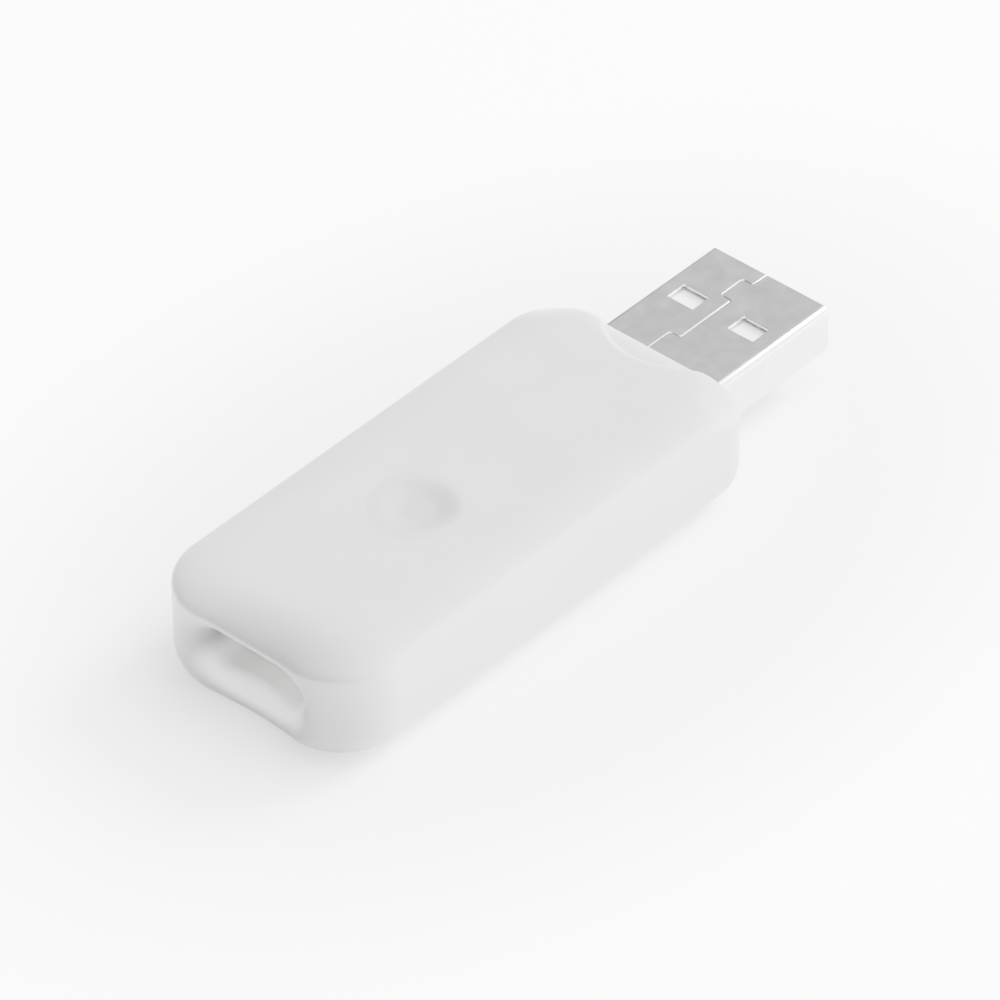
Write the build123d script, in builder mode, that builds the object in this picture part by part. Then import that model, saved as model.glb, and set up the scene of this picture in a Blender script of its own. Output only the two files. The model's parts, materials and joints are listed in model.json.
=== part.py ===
"""USB stick programmer: a moulded body with a USB-A plug, a soft press button and a target port.

Millimetres. The origin is the centre of the rectangle that the whole stick covers, at the level
of the flat underside. +X points to the tip of the plug and +Z points up.
"""

import os
from math import cos, radians, sin

from build123d import *

# Whole stick
overall_length = 60.4
running_gap = 0.05
cut_margin = 1.0

# Body outside
body_length = 46.5
body_width = 20.9
body_height = 9.6
front_corner_radius = 3.2
rear_corner_radius = 6.0
bottom_edge_radius = 3.4
crown_depth = 1.1
crown_reach_side = 4.5
crown_reach_rear = 4.5
crown_reach_front = 2.6
crown_front_corner_radius = 2.0
crown_rear_corner_radius = 2.6
crown_steps = (0, 20, 40, 60, 75, 90)
body_rear_x = -overall_length / 2
body_front_x = body_rear_x + body_length
body_half_width = body_width / 2

# Body walls
side_wall = 1.2
front_wall = 1.6
rear_wall = 2.2
top_wall = 1.2
ceiling_z = body_height - top_wall
cavity_floor_z = 1.2
cavity_front_corner_radius = 2.0
cavity_rear_corner_radius = 4.0
cavity_floor_radius = 1.9
cavity_ceiling_radius = 0.9

# Thumb scallop in the top edge behind the plug
scallop_radius = 6.0
scallop_reach = 2.75
scallop_depth = 0.35

# USB-A plug
plug_width = 12.0
plug_height = 4.5
plug_sheet = 0.3
plug_corner_radius = 0.6
plug_length = 18.5
plug_top_z = 7.35
plug_bottom_z = plug_top_z - plug_height
plug_middle_z = plug_top_z - plug_height / 2
plug_tip_x = overall_length / 2
plug_rear_x = plug_tip_x - plug_length
window_length = 1.95
window_width = 2.5
window_from_tip = 5.16
window_spacing = 6.1
seam_gap = 0.06
seam_y = 0.25
seam_tab_y = 1.3
seam_jog_radius = 0.3
seam_jogs_from_tip = (1.7, 4.3, 10.4)
shell_tab_length = 2.1
shell_tab_height = 1.8

# Plug insulator and contacts
insulator_gap = 0.02
tongue_thickness = 1.9
tongue_from_tip = 0.6
plug_mouth_depth = 9.2
contact_thickness = 0.25
contact_width = 1.0
contact_groove = 0.1
contact_foot_length = 1.4
contact_lines = {
    "usb_contact_power": (3.5, 1.2),
    "usb_contact_data_minus": (1.0, 2.2),
    "usb_contact_data_plus": (-1.0, 2.2),
    "usb_contact_ground": (-3.5, 1.2),
}

# Circuit board
board_thickness = 1.0
board_top_z = 3.9
board_bottom_z = board_top_z - board_thickness
board_width = 12.4
board_rear_x = -24.6
board_step_x = 9.3
board_front_x = 11.6
board_front_width = 11.0
board_corner_radius = 0.8

# Board supports in the two covers
peg_x = -18.5
peg_spacing = 10.4
peg_diameter = 1.2
peg_height = 0.8
rib_positions = (peg_x, 7.0)
rib_thickness = 1.2
rib_width = 11.8
post_positions = (-13.6, 8.2)
post_spacing = 10.8
post_diameter = 1.2

# Target port
port_width = 10.4
port_height = 4.4
port_depth = 4.5
port_middle_z = 5.2
port_shroud_wall = 1.0
port_back_x = body_rear_x + port_depth
lip_scoop_radius = 9.5
lip_scoop_reach = 1.3
lip_scoop_middle_z = 4.6

# Target socket
socket_length = 4.25
socket_width = 8.0
socket_height = 2.95
socket_mouth_width = 6.6
socket_mouth_height = 1.9
socket_mouth_depth = 3.2
socket_mouth_middle_z = 5.45
socket_pin_count = 6
socket_pin_pitch = 1.0
socket_pin_size = 0.3
socket_pin_reach = 2.4
socket_foot_length = 0.9

# Press button
button_x = -10.6
button_diameter = 6.4
button_dish_diameter = 6.0
button_dish_depth = 0.3
button_flange_diameter = 8.0
button_flange_thickness = 0.5
button_stem_diameter = 3.0

# Press switch under the button
switch_size = 4.5
switch_base_height = 1.6
switch_well_diameter = 3.4
switch_well_depth = 0.9
switch_cover_thickness = 0.2
switch_cover_hole_diameter = 2.4
switch_plunger_diameter = 2.2
switch_flange_diameter = 2.9
switch_flange_thickness = 0.3
switch_top_z = 7.6
dome_diameter = 3.2
dome_height = 0.45
dome_thickness = 0.08
terminal_spacing = 3.0
terminal_width = 0.7
terminal_thickness = 0.15
terminal_reach = 0.85
terminal_height = 0.7

# Bottom cover
plate_thickness = 1.4
flange_thickness = 0.7
flange_margin = 0.4
flange_half_width = body_half_width - bottom_edge_radius - flange_margin
flange_rear_x = -23.5
flange_front_x = body_front_x - bottom_edge_radius - flange_margin
flange_corner_radius = 1.5
spigot_inset = 0.5
hook_positions = (-11.5, 2.5)
hook_width = 2.4
hook_height = 0.9
hook_thickness = 0.7
hook_catch = 0.55

# Chips and small parts on the board: centre x, centre y and body size
lead_thickness = 0.15
lead_reach = 1.0
chip_standoff = 0.1
small_part_length = 1.6
small_part_width = 0.8
small_part_row_x = (-1.5, 0.5, 2.5, 4.5)
small_part_row_y = 5.25
capacitor_height = 0.8
resistor_height = 0.45

os.makedirs("parts", exist_ok=True)


# ---------------------------------------------------------------- body shapes
def body_outline(z, inset_rear, inset_front, inset_side, rear_radius, front_radius):
    """The body's plan outline at height z, drawn in from the rear, the front and both sides."""
    low_x = body_rear_x + inset_rear
    high_x = body_front_x - inset_front
    with BuildSketch(Plane.XY.offset(z)) as outline:
        with Locations(((low_x + high_x) / 2, 0)):
            Rectangle(high_x - low_x, 2 * (body_half_width - inset_side))
        fillet(outline.vertices().group_by(Axis.X)[-1], front_radius)
        fillet(outline.vertices().group_by(Axis.X)[0], rear_radius)
    return outline.sketch


def body_form():
    """The closed outside shape of the body: round underneath, softly crowned on top."""
    shoulder_z = body_height - crown_depth
    with BuildPart() as form:
        # Each step goes further round a quarter ellipse, from the upright side to the flat top.
        for step in crown_steps:
            drawn_in = 1 - cos(radians(step))
            add(
                body_outline(
                    shoulder_z + crown_depth * sin(radians(step)),
                    crown_reach_rear * drawn_in,
                    crown_reach_front * drawn_in,
                    crown_reach_side * drawn_in,
                    rear_corner_radius + (crown_rear_corner_radius - rear_corner_radius) * drawn_in,
                    front_corner_radius + (crown_front_corner_radius - front_corner_radius) * drawn_in,
                )
            )
        loft()
    with BuildPart() as base:
        add(body_outline(0, 0, 0, 0, rear_corner_radius, front_corner_radius))
        extrude(amount=shoulder_z)
        fillet(base.edges().group_by(Axis.Z)[0], bottom_edge_radius)
        add(form.part)
    return base.part


def cavity_form():
    """The hollow inside the body, with rounded floor and ceiling edges."""
    with BuildPart() as cavity:
        add(
            body_outline(
                cavity_floor_z,
                rear_wall,
                front_wall,
                side_wall,
                cavity_rear_corner_radius,
                cavity_front_corner_radius,
            )
        )
        extrude(amount=ceiling_z - cavity_floor_z)
        fillet(cavity.edges().group_by(Axis.Z)[-1], cavity_ceiling_radius)
        fillet(cavity.edges().group_by(Axis.Z)[0], cavity_floor_radius)
    return cavity.part


def opening_outline(z, grow):
    """The outline of the opening in the underside at height z, grown or shrunk by one amount."""
    low_x = flange_rear_x - grow
    high_x = flange_front_x + grow
    with BuildSketch(Plane.XY.offset(z)) as outline:
        with Locations(((low_x + high_x) / 2, 0)):
            RectangleRounded(high_x - low_x, 2 * (flange_half_width + grow), flange_corner_radius)
    return outline.sketch


outside = body_form()
cavity = cavity_form()


# ---------------------------------------------------------------- top cover
with BuildPart() as top_cover:
    add(outside)
    add(cavity, mode=Mode.SUBTRACT)
    # Shroud round the target port, joining the rear wall, the ceiling and the sides of the port.
    with BuildSketch(Plane.YZ.offset(port_back_x + port_shroud_wall)):
        with Locations((0, port_middle_z)):
            SlotOverall(port_width + 2 * port_shroud_wall, port_height + 2 * port_shroud_wall)
    extrude(amount=port_shroud_wall - port_depth)
    # Target port and the window that its socket fills.
    with BuildSketch(Plane.YZ.offset(port_back_x)):
        with Locations((0, port_middle_z)):
            SlotOverall(port_width, port_height)
    extrude(amount=-port_depth - cut_margin, mode=Mode.SUBTRACT)
    with BuildSketch(Plane.YZ.offset(port_back_x - cut_margin)):
        with Locations((0, board_top_z + socket_height / 2)):
            Rectangle(socket_width + 2 * running_gap, socket_height + 2 * running_gap)
    extrude(amount=2 * cut_margin + port_shroud_wall, mode=Mode.SUBTRACT)
    # Scoop that sets the port's lower lip back from the rear end.
    with Locations((body_rear_x + lip_scoop_reach - lip_scoop_radius, 0, lip_scoop_middle_z)):
        Sphere(
            lip_scoop_radius,
            arc_size1=-90,
            arc_size2=0,
            align=(Align.CENTER, Align.CENTER, Align.MAX),
            mode=Mode.SUBTRACT,
        )
    # Thumb scallop.
    with BuildSketch(Plane.XY.offset(body_height - scallop_depth)):
        with Locations((body_front_x - scallop_reach + scallop_radius, 0)):
            Circle(scallop_radius)
    extrude(amount=scallop_depth + cut_margin, mode=Mode.SUBTRACT)
    # Button hole.
    with BuildSketch(Plane.XY.offset(ceiling_z - cut_margin)):
        with Locations((button_x, 0)):
            Circle(button_diameter / 2 + running_gap)
    extrude(amount=top_wall + 2 * cut_margin, mode=Mode.SUBTRACT)
    # Plug opening, open downwards so that the plug drops in from below.
    with BuildSketch(Plane.YZ.offset(body_front_x - front_wall - cut_margin)):
        with Locations((0, plug_middle_z)):
            RectangleRounded(
                plug_width + 2 * running_gap, plug_height + 2 * running_gap, plug_corner_radius + running_gap
            )
        with Locations((0, plug_middle_z / 2 - cut_margin / 2)):
            Rectangle(plug_width + 2 * running_gap, plug_middle_z + cut_margin)
    extrude(amount=front_wall + 2 * cut_margin, mode=Mode.SUBTRACT)
    # Stepped opening in the underside for the bottom cover, and the way through to the front wall.
    add(extrude(opening_outline(0, 0), amount=flange_thickness), mode=Mode.SUBTRACT)
    add(extrude(opening_outline(0, -spigot_inset), amount=plate_thickness), mode=Mode.SUBTRACT)
    with BuildSketch(Plane.XY):
        with Locations(((flange_front_x + body_front_x - spigot_inset) / 2, 0)):
            Rectangle(body_front_x - flange_front_x + 3 * spigot_inset, plug_width + 2 * running_gap)
    extrude(amount=plate_thickness, mode=Mode.SUBTRACT)
    # Posts that hold the board down.
    with BuildSketch(Plane.XY.offset(board_top_z)):
        for post_x in post_positions:
            with Locations((post_x, post_spacing / 2), (post_x, -post_spacing / 2)):
                Circle(post_diameter / 2)
    extrude(amount=ceiling_z - board_top_z + top_wall / 2)
top_cover.part.label = "top_cover"
export_step(top_cover.part, "parts/top_cover.step")


# ---------------------------------------------------------------- bottom cover
with BuildPart() as bottom_cover:
    add(extrude(opening_outline(0, -running_gap), amount=flange_thickness))
    add(extrude(opening_outline(0, -spigot_inset - running_gap), amount=plate_thickness))
    # Lug that fills the front wall under the plug.
    with BuildSketch(Plane.XZ) as lug_section:
        with BuildLine():
            Polyline(
                (flange_front_x - 2 * spigot_inset, 0),
                (body_front_x + cut_margin, 0),
                (body_front_x + cut_margin, plug_bottom_z - running_gap),
                (body_front_x - front_wall, plug_bottom_z - running_gap),
                (body_front_x - front_wall, plate_thickness),
                (flange_front_x - 2 * spigot_inset, plate_thickness),
                close=True,
            )
        make_face()
    extrude(amount=plug_width / 2, both=True)
    add(outside, mode=Mode.INTERSECT)
    # Ribs under the board.
    with BuildSketch(Plane.XY.offset(flange_thickness)):
        for rib_x in rib_positions:
            with Locations((rib_x, 0)):
                Rectangle(rib_thickness, rib_width)
    extrude(amount=board_bottom_z - flange_thickness)
    # Pegs through the board.
    with BuildSketch(Plane.XY.offset(flange_thickness)):
        with Locations((peg_x, peg_spacing / 2), (peg_x, -peg_spacing / 2)):
            Circle(peg_diameter / 2)
    extrude(amount=board_bottom_z - flange_thickness + peg_height)
    # Snap hooks: each leg stands on the spigot's edge and its catch lies over the ledge.
    spigot_edge_y = flange_half_width - spigot_inset - running_gap
    for hook_x in hook_positions:
        for side in (1, -1):
            with BuildSketch(Plane.YZ.offset(hook_x - hook_width / 2)):
                with BuildLine():
                    Polyline(
                        (side * (spigot_edge_y - hook_thickness), flange_thickness),
                        (side * spigot_edge_y, flange_thickness),
                        (side * spigot_edge_y, plate_thickness),
                        (side * (spigot_edge_y + hook_catch), plate_thickness),
                        (side * spigot_edge_y, plate_thickness + hook_height),
                        (side * (spigot_edge_y - hook_thickness), plate_thickness + hook_height),
                        close=True,
                    )
                make_face()
            extrude(amount=hook_width)
bottom_cover.part.label = "bottom_cover"
export_step(bottom_cover.part, "parts/bottom_cover.step")


# ---------------------------------------------------------------- press button
dish_radius = (button_dish_diameter**2 / 4 + button_dish_depth**2) / (2 * button_dish_depth)
with BuildPart() as button_cap:
    with BuildSketch(Plane.XY.offset(ceiling_z)):
        with Locations((button_x, 0)):
            Circle(button_diameter / 2)
    extrude(amount=top_wall)
    with BuildSketch(Plane.XY.offset(ceiling_z - button_flange_thickness)):
        with Locations((button_x, 0)):
            Circle(button_flange_diameter / 2)
    extrude(amount=button_flange_thickness)
    with BuildSketch(Plane.XY.offset(switch_top_z)):
        with Locations((button_x, 0)):
            Circle(button_stem_diameter / 2)
    extrude(amount=ceiling_z - switch_top_z)
    with Locations((button_x, 0, body_height + dish_radius - button_dish_depth)):
        Sphere(dish_radius, mode=Mode.SUBTRACT)
button_cap.part.label = "button_cap"
export_step(button_cap.part, "parts/button_cap.step")


# ---------------------------------------------------------------- USB-A plug shell
with BuildPart() as usb_shell:
    with BuildSketch(Plane.YZ.offset(plug_rear_x)):
        with Locations((0, plug_middle_z)):
            RectangleRounded(plug_width, plug_height, plug_corner_radius)
            RectangleRounded(
                plug_width - 2 * plug_sheet,
                plug_height - 2 * plug_sheet,
                plug_corner_radius - plug_sheet,
                mode=Mode.SUBTRACT,
            )
    extrude(amount=plug_length)
    # Two latching windows in the top and two in the bottom.
    with BuildSketch(Plane.XY.offset(plug_bottom_z - cut_margin)):
        window_x = plug_tip_x - window_from_tip - window_length / 2
        with Locations((window_x, window_spacing / 2), (window_x, -window_spacing / 2)):
            Rectangle(window_length, window_width)
    extrude(amount=plug_height + 2 * cut_margin, mode=Mode.SUBTRACT)
    # Interlocked seam where the folded sheet meets itself.
    tab_start, tab_end, rear_jog = [plug_tip_x - distance for distance in seam_jogs_from_tip]
    with BuildSketch(Plane.XY.offset(plug_top_z - 2 * plug_sheet)):
        with BuildLine():
            FilletPolyline(
                (plug_tip_x + cut_margin, seam_y),
                (tab_start, seam_y),
                (tab_start, seam_tab_y),
                (tab_end, seam_tab_y),
                (tab_end, seam_y),
                (rear_jog, seam_y),
                (rear_jog, seam_tab_y),
                (plug_rear_x - cut_margin, seam_tab_y),
                radius=seam_jog_radius,
            )
        trace(line_width=seam_gap)
    extrude(amount=3 * plug_sheet, mode=Mode.SUBTRACT)
    # Side tabs that are soldered beside the board.
    with BuildSketch(Plane.XZ):
        with Locations((plug_rear_x, plug_bottom_z + plug_corner_radius)):
            Rectangle(2 * shell_tab_length, shell_tab_height, align=(Align.CENTER, Align.MIN))
    extrude(amount=plug_width / 2, both=True)
    with BuildSketch(Plane.XZ):
        with Locations((plug_rear_x, plug_middle_z)):
            Rectangle(2 * shell_tab_length + cut_margin, plug_height - 2 * plug_sheet)
    extrude(amount=plug_width / 2 - plug_sheet, both=True, mode=Mode.SUBTRACT)
usb_shell.part.label = "usb_shell"
export_step(usb_shell.part, "parts/usb_shell.step")


# ---------------------------------------------------------------- USB-A plug insulator
tongue_top_z = plug_top_z - plug_sheet - insulator_gap
tongue_bottom_z = tongue_top_z - tongue_thickness
contact_top_z = tongue_bottom_z + contact_groove
contact_middle_z = contact_top_z - contact_thickness / 2
insulator_width = plug_width - 2 * (plug_sheet + insulator_gap)
block_front_x = plug_tip_x - plug_mouth_depth
block_rear_x = plug_rear_x + 2 * insulator_gap
block_bottom_z = plug_bottom_z + plug_sheet + insulator_gap
with BuildPart() as usb_insulator:
    with BuildSketch(Plane.XZ):
        with BuildLine():
            Polyline(
                (block_rear_x, block_bottom_z),
                (block_front_x, block_bottom_z),
                (block_front_x, tongue_bottom_z),
                (plug_tip_x - tongue_from_tip, tongue_bottom_z),
                (plug_tip_x - tongue_from_tip, tongue_top_z),
                (block_rear_x, tongue_top_z),
                close=True,
            )
        make_face()
    extrude(amount=insulator_width / 2, both=True)
    fillet(usb_insulator.edges().filter_by(Axis.X), plug_corner_radius - plug_sheet)
    # A channel for each contact, open below along the tongue.
    for contact_y, contact_from_tip in contact_lines.values():
        with BuildSketch(Plane.YZ.offset(block_rear_x - cut_margin)):
            with Locations((contact_y, contact_middle_z)):
                Rectangle(contact_width + 2 * insulator_gap, contact_thickness + 2 * insulator_gap)
        channel_length = plug_tip_x - contact_from_tip - block_rear_x + cut_margin + insulator_gap
        extrude(amount=channel_length, mode=Mode.SUBTRACT)
usb_insulator.part.label = "usb_insulator"
export_step(usb_insulator.part, "parts/usb_insulator.step")


# ---------------------------------------------------------------- USB-A plug contacts
def stepped_strip(front_x, high_z, step_x, foot_x, foot_z, thickness, width, middle_y):
    """A flat strip that runs back at one height, steps down and ends in a soldering foot."""
    half = thickness / 2
    with BuildPart() as strip:
        with BuildSketch(Plane.XZ.offset(-middle_y)):
            with BuildLine():
                Polyline(
                    (front_x, high_z + half),
                    (front_x, high_z - half),
                    (step_x + half, high_z - half),
                    (step_x + half, foot_z),
                    (foot_x, foot_z),
                    (foot_x, foot_z + thickness),
                    (step_x - half, foot_z + thickness),
                    (step_x - half, high_z + half),
                    close=True,
                )
            make_face()
        extrude(amount=width / 2, both=True)
    return strip.part


for contact_name, (contact_y, contact_from_tip) in contact_lines.items():
    contact_step_x = board_front_x - 2 * contact_thickness
    usb_contact = stepped_strip(
        plug_tip_x - contact_from_tip,
        contact_middle_z,
        contact_step_x,
        contact_step_x - contact_foot_length,
        board_top_z,
        contact_thickness,
        contact_width,
        contact_y,
    )
    usb_contact.label = contact_name
    export_step(usb_contact, f"parts/{contact_name}.step")


# ---------------------------------------------------------------- circuit board
with BuildPart() as circuit_board:
    with BuildSketch(Plane.XY.offset(board_bottom_z)) as board_outline:
        with Locations(((board_rear_x + board_step_x) / 2, 0)):
            Rectangle(board_step_x - board_rear_x, board_width)
        fillet(board_outline.vertices().group_by(Axis.X)[0], board_corner_radius)
        with Locations(((board_step_x + board_front_x) / 2, 0)):
            Rectangle(board_front_x - board_step_x, board_front_width)
    extrude(amount=board_thickness)
    with Locations((peg_x, peg_spacing / 2, board_top_z), (peg_x, -peg_spacing / 2, board_top_z)):
        Hole(peg_diameter / 2 + running_gap, depth=board_thickness)
circuit_board.part.label = "circuit_board"
export_step(circuit_board.part, "parts/circuit_board.step")


# ---------------------------------------------------------------- chips
def chip_body(middle, size, height, corner=0.15):
    """A moulded chip body standing just above the board."""
    with BuildPart() as body:
        with BuildSketch(Plane.XY.offset(board_top_z + chip_standoff)):
            with Locations(middle):
                Rectangle(*size)
        extrude(amount=height)
        chamfer(body.edges().group_by(Axis.Z)[-1], corner)
    return body.part


def gull_lead(reach, width, height):
    """One bent lead on the X axis: it leaves the chip body at x = 0 and stands on z = 0."""
    shoulder = reach * 0.35
    with BuildPart() as lead:
        with BuildSketch(Plane.XZ):
            with BuildLine():
                Polyline(
                    (0, height),
                    (shoulder, height),
                    (shoulder + lead_thickness, lead_thickness),
                    (reach, lead_thickness),
                    (reach, 0),
                    (shoulder, 0),
                    (shoulder - lead_thickness, height - lead_thickness),
                    (0, height - lead_thickness),
                    close=True,
                )
            make_face()
        extrude(amount=width / 2, both=True)
    return lead.part


def chip_leads(middle, size, height, width, rows):
    """Every lead of one chip. Each row is a direction in degrees, a lead count and a pitch."""
    leads = []
    for direction, count, pitch in rows:
        edge = size[0] / 2 if direction % 180 == 0 else size[1] / 2
        lead = gull_lead(lead_reach, width, height)
        for index in range(count):
            along = (index - (count - 1) / 2) * pitch
            placed = Pos(edge, along, 0) * lead
            leads.append(Pos(*middle, board_top_z) * (Rot(0, 0, direction) * placed))
    return Compound(children=leads)


# Chip name: centre, body size, body height, lead width, rows of leads
chips = {
    "microcontroller": (
        (1.5, 0),
        (7.0, 7.0),
        1.0,
        0.35,
        ((0, 8, 0.8), (90, 8, 0.8), (180, 8, 0.8), (270, 8, 0.8)),
    ),
    "level_shifter": ((-17.0, 0), (5.0, 4.4), 0.9, 0.25, ((90, 7, 0.65), (270, 7, 0.65))),
    "voltage_regulator": ((-5.6, -2.6), (1.3, 2.9), 1.0, 0.4, ((0, 1, 0.95), (180, 2, 1.9))),
    "surge_protector": ((8.0, 1.9), (1.3, 2.9), 1.0, 0.35, ((0, 3, 0.95), (180, 3, 0.95))),
}
for chip_name, (middle, size, height, lead_width, rows) in chips.items():
    body = chip_body(middle, size, height)
    body.label = f"{chip_name}_body"
    export_step(body, f"parts/{chip_name}_body.step")
    leads = chip_leads(middle, size, chip_standoff + height / 2, lead_width, rows)
    leads.label = f"{chip_name}_leads"
    export_step(leads, f"parts/{chip_name}_leads.step")


# ---------------------------------------------------------------- small parts on the board
def board_block(middle, size, edge_radius):
    """A small rectangular part standing on the board, with its upright edges rounded."""
    with BuildPart() as block:
        with BuildSketch(Plane.XY.offset(board_top_z)):
            with Locations(middle):
                RectangleRounded(size[0], size[1], edge_radius)
        extrude(amount=size[2])
    return block.part


# Name: centre, size, radius of the upright edges
small_parts = {
    "crystal": ((-5.6, 2.6), (2.5, 3.2, 0.8), 0.3),
    "input_fuse": ((8.0, -2.4), (1.6, 3.2, 0.7), 0.1),
    "status_light": ((-5.6, small_part_row_y), (1.6, 0.8, 0.6), 0.1),
}
for index, part_x in enumerate(small_part_row_x, start=1):
    capacitor_size = (small_part_length, small_part_width, capacitor_height)
    resistor_size = (small_part_length, small_part_width, resistor_height)
    small_parts[f"capacitor_{index}"] = ((part_x, small_part_row_y), capacitor_size, 0.1)
    small_parts[f"resistor_{index}"] = ((part_x, -small_part_row_y), resistor_size, 0.1)
for part_name, (middle, size, edge_radius) in small_parts.items():
    block = board_block(middle, size, edge_radius)
    block.label = part_name
    export_step(block, f"parts/{part_name}.step")


# ---------------------------------------------------------------- press switch
switch_base_top_z = board_top_z + switch_base_height
switch_well_floor_z = switch_base_top_z - switch_well_depth
with BuildPart() as switch_base:
    with BuildSketch(Plane.XY.offset(board_top_z)):
        with Locations((button_x, 0)):
            RectangleRounded(switch_size, switch_size, switch_size / 10)
    extrude(amount=switch_base_height)
    with Locations((button_x, 0, switch_base_top_z)):
        Hole(switch_well_diameter / 2, depth=switch_well_depth)
switch_base.part.label = "switch_base"
export_step(switch_base.part, "parts/switch_base.step")

with BuildPart() as switch_cover:
    with BuildSketch(Plane.XY.offset(switch_base_top_z)):
        with Locations((button_x, 0)):
            RectangleRounded(switch_size, switch_size, switch_size / 10)
            Circle(switch_cover_hole_diameter / 2, mode=Mode.SUBTRACT)
    extrude(amount=switch_cover_thickness)
switch_cover.part.label = "switch_cover"
export_step(switch_cover.part, "parts/switch_cover.step")

# The dome is a thin cap of a sphere with its rim on the floor of the well.
dome_rim = dome_diameter / 2
dome_radius = (dome_rim**2 + dome_height**2) / (2 * dome_height)
with BuildPart() as switch_dome:
    with BuildSketch(Plane.XY.offset(switch_well_floor_z)):
        with Locations((button_x, 0)):
            Circle(dome_rim)
    extrude(amount=dome_height)
    with Locations((button_x, 0, switch_well_floor_z + dome_height - dome_radius)):
        Sphere(dome_radius, mode=Mode.INTERSECT)
        Sphere(dome_radius - dome_thickness, mode=Mode.SUBTRACT)
switch_dome.part.label = "switch_dome"
export_step(switch_dome.part, "parts/switch_dome.step")

plunger_foot_z = switch_well_floor_z + dome_height
with BuildPart() as switch_plunger:
    with BuildSketch(Plane.XY.offset(plunger_foot_z)):
        with Locations((button_x, 0)):
            Circle(switch_flange_diameter / 2)
    extrude(amount=switch_flange_thickness)
    with BuildSketch(Plane.XY.offset(plunger_foot_z)):
        with Locations((button_x, 0)):
            Circle(switch_plunger_diameter / 2)
    extrude(amount=switch_top_z - plunger_foot_z)
switch_plunger.part.label = "switch_plunger"
export_step(switch_plunger.part, "parts/switch_plunger.step")

with BuildPart() as switch_terminals:
    for side in (1, -1):
        for terminal_x in (button_x - terminal_spacing / 2, button_x + terminal_spacing / 2):
            with BuildSketch(Plane.YZ.offset(terminal_x - terminal_width / 2)):
                with BuildLine():
                    Polyline(
                        (side * switch_size / 2, board_top_z),
                        (side * (switch_size / 2 + terminal_reach), board_top_z),
                        (side * (switch_size / 2 + terminal_reach), board_top_z + terminal_thickness),
                        (side * (switch_size / 2 + terminal_thickness), board_top_z + terminal_thickness),
                        (side * (switch_size / 2 + terminal_thickness), board_top_z + terminal_height),
                        (side * switch_size / 2, board_top_z + terminal_height),
                        close=True,
                    )
                make_face()
            extrude(amount=terminal_width)
switch_terminals.part.label = "switch_terminals"
export_step(switch_terminals.part, "parts/switch_terminals.step")


# ---------------------------------------------------------------- target socket
socket_rear_x = port_back_x + socket_length
pin_lines = [(index - (socket_pin_count - 1) / 2) * socket_pin_pitch for index in range(socket_pin_count)]
with BuildPart() as target_socket:
    with BuildSketch(Plane.YZ.offset(port_back_x)):
        with Locations((0, board_top_z + socket_height / 2)):
            Rectangle(socket_width, socket_height)
    extrude(amount=socket_length)
    with BuildSketch(Plane.YZ.offset(port_back_x)):
        with Locations((0, socket_mouth_middle_z)):
            Rectangle(socket_mouth_width, socket_mouth_height)
    extrude(amount=socket_mouth_depth, mode=Mode.SUBTRACT)
    with BuildSketch(Plane.YZ.offset(port_back_x + socket_mouth_depth - cut_margin)):
        for pin_y in pin_lines:
            with Locations((pin_y, socket_mouth_middle_z)):
                Rectangle(socket_pin_size + 2 * insulator_gap, socket_pin_size + 2 * insulator_gap)
    extrude(amount=socket_length + cut_margin, mode=Mode.SUBTRACT)
target_socket.part.label = "target_socket"
export_step(target_socket.part, "parts/target_socket.step")

for index, pin_y in enumerate(pin_lines, start=1):
    pin_step_x = socket_rear_x + socket_pin_size
    # The strip is drawn with its foot towards -X, so it is turned round to stand behind the socket.
    pin = stepped_strip(
        socket_pin_reach + socket_pin_size,
        socket_mouth_middle_z,
        0,
        -socket_foot_length,
        board_top_z,
        socket_pin_size,
        socket_pin_size,
        0,
    )
    target_pin = Pos(pin_step_x, pin_y, 0) * (Rot(0, 0, 180) * pin)
    target_pin.label = f"target_pin_{index}"
    export_step(target_pin, f"parts/target_pin_{index}.step")
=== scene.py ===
import json
import math

import bmesh
import bpy
import numpy as np
from mathutils import Matrix, Vector


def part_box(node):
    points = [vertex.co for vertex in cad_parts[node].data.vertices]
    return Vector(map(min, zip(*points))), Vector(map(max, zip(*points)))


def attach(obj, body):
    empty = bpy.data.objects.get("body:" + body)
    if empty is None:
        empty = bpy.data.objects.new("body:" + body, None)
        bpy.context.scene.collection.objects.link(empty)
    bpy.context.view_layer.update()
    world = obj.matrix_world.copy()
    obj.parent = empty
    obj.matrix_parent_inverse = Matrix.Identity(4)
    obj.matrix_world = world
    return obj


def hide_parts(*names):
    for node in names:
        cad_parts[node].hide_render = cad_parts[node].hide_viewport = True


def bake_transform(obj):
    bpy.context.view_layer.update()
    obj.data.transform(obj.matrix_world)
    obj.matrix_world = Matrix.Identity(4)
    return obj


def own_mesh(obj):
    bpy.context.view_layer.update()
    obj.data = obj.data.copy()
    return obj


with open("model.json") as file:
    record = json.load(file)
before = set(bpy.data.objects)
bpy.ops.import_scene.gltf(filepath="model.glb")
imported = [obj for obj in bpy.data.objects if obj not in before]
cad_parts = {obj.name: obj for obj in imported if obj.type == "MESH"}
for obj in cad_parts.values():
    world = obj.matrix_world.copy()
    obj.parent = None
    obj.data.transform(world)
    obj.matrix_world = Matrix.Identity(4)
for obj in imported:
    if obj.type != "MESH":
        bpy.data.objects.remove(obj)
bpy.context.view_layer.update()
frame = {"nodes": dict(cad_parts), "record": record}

# Shapes are worked out in millimetres and scaled to metres when their mesh is made.
MM = 0.001


def box_mm(node):
    """Lowest and highest corner of a CAD node, in millimetres."""
    low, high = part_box(node)
    return np.array(low) / MM, np.array(high) / MM


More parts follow.
